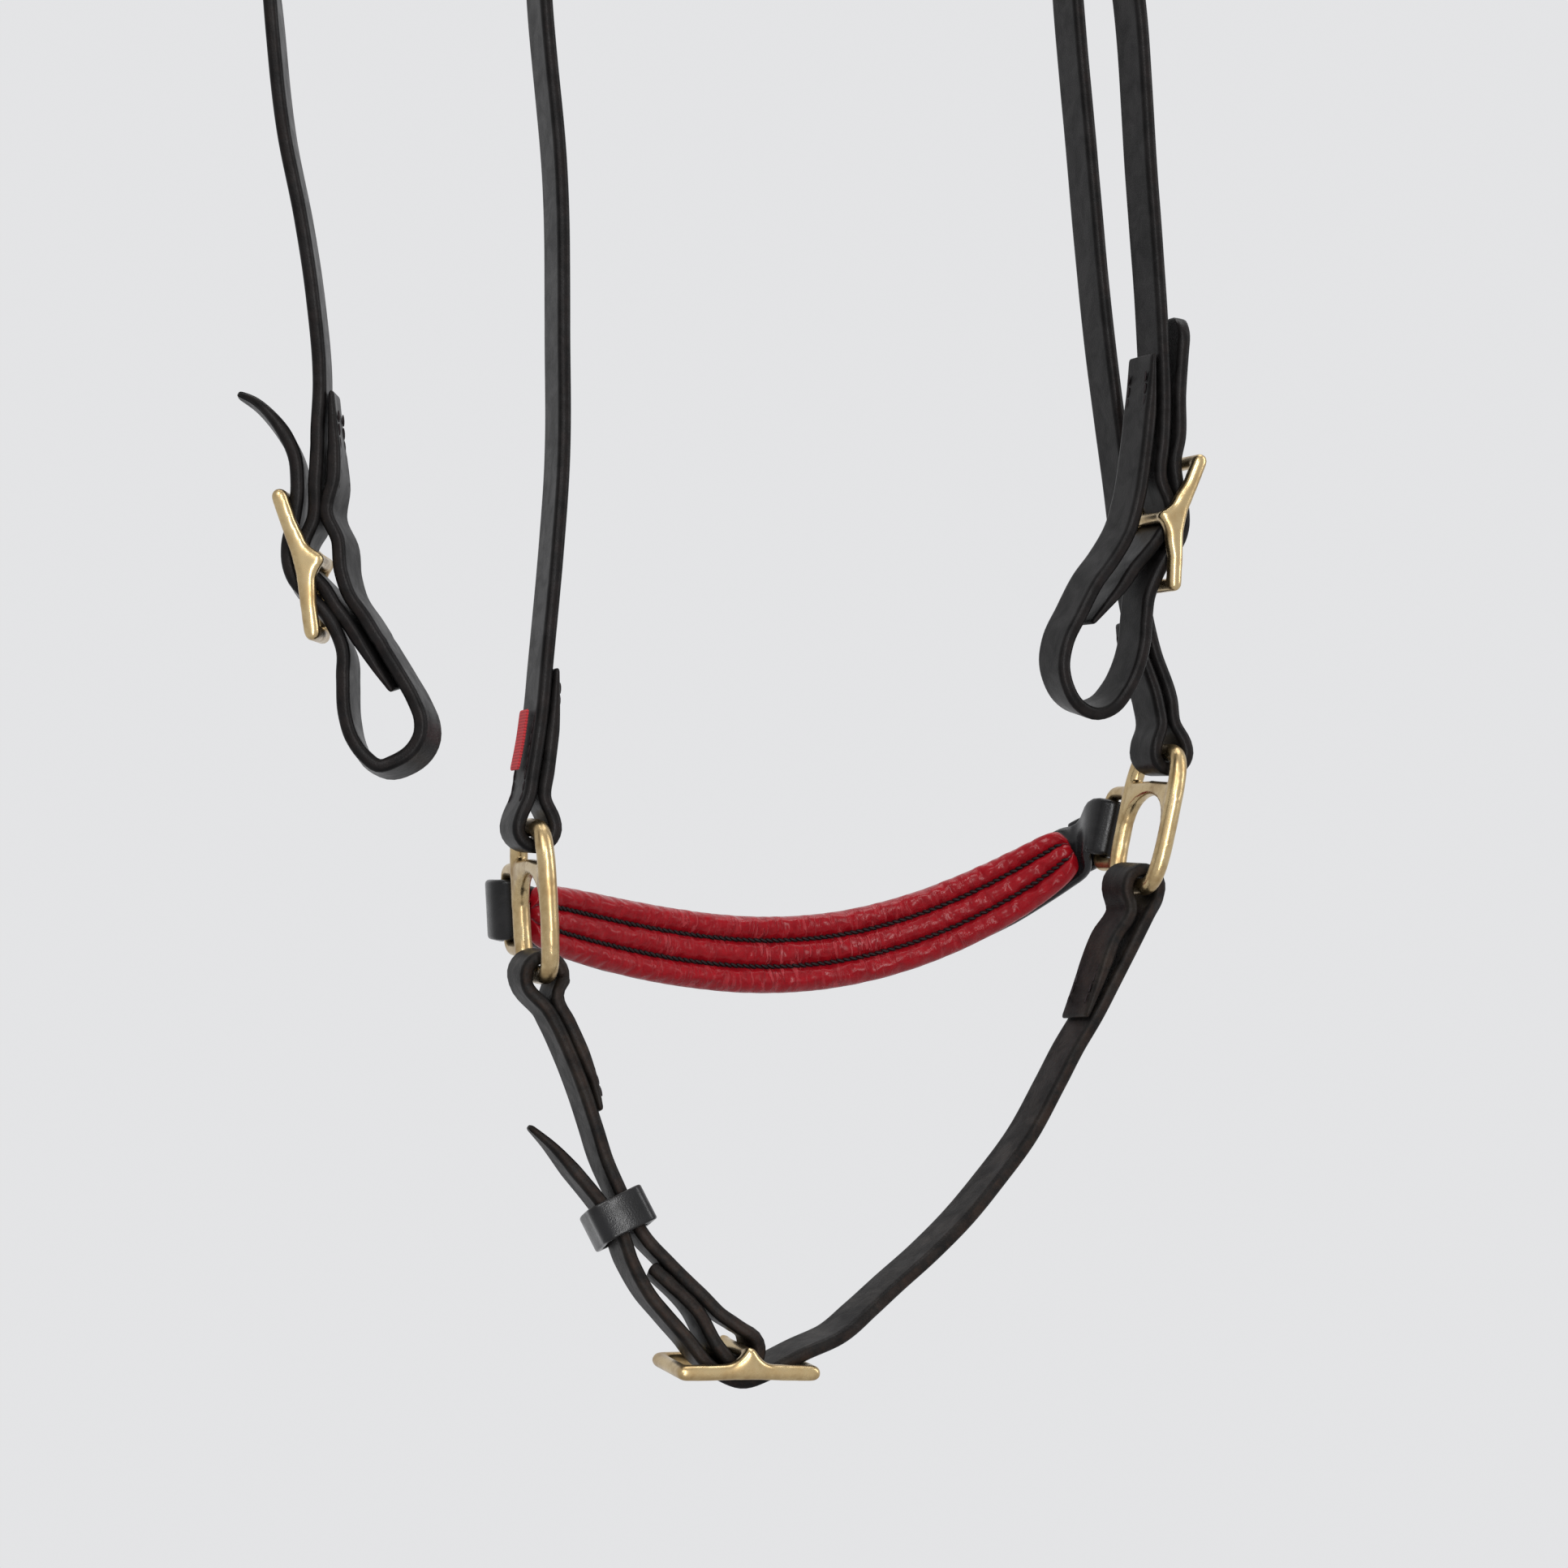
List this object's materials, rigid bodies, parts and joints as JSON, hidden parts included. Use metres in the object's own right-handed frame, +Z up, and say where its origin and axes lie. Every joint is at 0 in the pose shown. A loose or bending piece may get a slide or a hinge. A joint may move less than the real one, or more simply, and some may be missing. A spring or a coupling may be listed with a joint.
{
  "type": "horse bridle",
  "caption": "Leather horse bridle with buckled bit cheekpieces, browband, padded noseband on its own hanger, cast rings and a buckled chin strap.",
  "frame": {"origin": "under the straps at the poll, where the bridle hangs from its peg or lies on the horse", "axes": "+Z up the bridle, +Y to the front of the horse's face, +X across it to the image's right"},
  "size_m": [0.2316, 0.1172, 0.5825],
  "materials": {
    "black_leather": "satin black with brown wear and raw cut edges",
    "red_leather": "glossy red, wrinkled over soft padding",
    "red_cloth": "plain woven red tab",
    "brass": "aged satin cast brass with brown tarnish"
  },
  "bodies": {
    "head": {"crown_strap": "black_leather", "right_hanger_strap": "black_leather", "left_hanger_strap": "black_leather", "hanger_buckle": "brass", "hanger_tab": "red_cloth", "left_cheek_strap": "black_leather", "right_cheek_strap": "black_leather", "left_bit_strap": "black_leather", "right_bit_strap": "black_leather", "left_bit_buckle": "brass", "right_bit_buckle": "brass", "left_crown_buckle": "brass", "right_crown_buckle": "brass"},
    "noseband": {"left_ring": "brass", "right_ring": "brass", "noseband_strap": "black_leather", "noseband_pad": "red_leather"},
    "chin": {"left_chin_strap": "black_leather", "right_chin_strap": "black_leather", "chin_buckle": "brass"},
    "chin_keeper": {"chin_keeper": "black_leather"},
    "left_crown_keeper": {"left_crown_keeper": "black_leather"},
    "right_crown_keeper": {"right_crown_keeper": "black_leather"},
    "hanger_keeper": {"hanger_keeper": "black_leather"},
    "browband": {"browband": "black_leather"}
  },
  "joints": [
    {"name": "noseband_swing", "type": "hinge", "parent": "head", "child": "noseband", "pos_m": [0.01528, 0, -0.44372], "axis": [0.994, 0, 0.1097], "range_deg": [-4, 4]},
    {"name": "chin_swing", "type": "hinge", "parent": "noseband", "child": "chin", "pos_m": [0.01242, 0, -0.47647], "axis": [0.9925, 0, 0.1219], "range_deg": [-4, 4]},
    {"name": "chin_keeper_slide", "type": "slide", "parent": "chin", "child": "chin_keeper", "axis": [0.3807, -0.3068, -0.8723], "range_m": [-0.0015, 0.0015]},
    {"name": "left_crown_keeper_slide", "type": "slide", "parent": "head", "child": "left_crown_keeper", "axis": [0.1736, 0, 0.9848], "range_m": [-0.007, 0.004]},
    {"name": "right_crown_keeper_slide", "type": "slide", "parent": "head", "child": "right_crown_keeper", "axis": [-0.1305, 0, 0.9914], "range_m": [-0.007, 0.004]},
    {"name": "hanger_keeper_slide", "type": "slide", "parent": "head", "child": "hanger_keeper", "axis": [-0.2419, 0, 0.9703], "range_m": [-0.007, 0.004]},
    {"name": "browband_slide", "type": "slide", "parent": "head", "child": "browband", "axis": [0, 0, 1], "range_m": [-0.004, 0.003]}
  ]
}
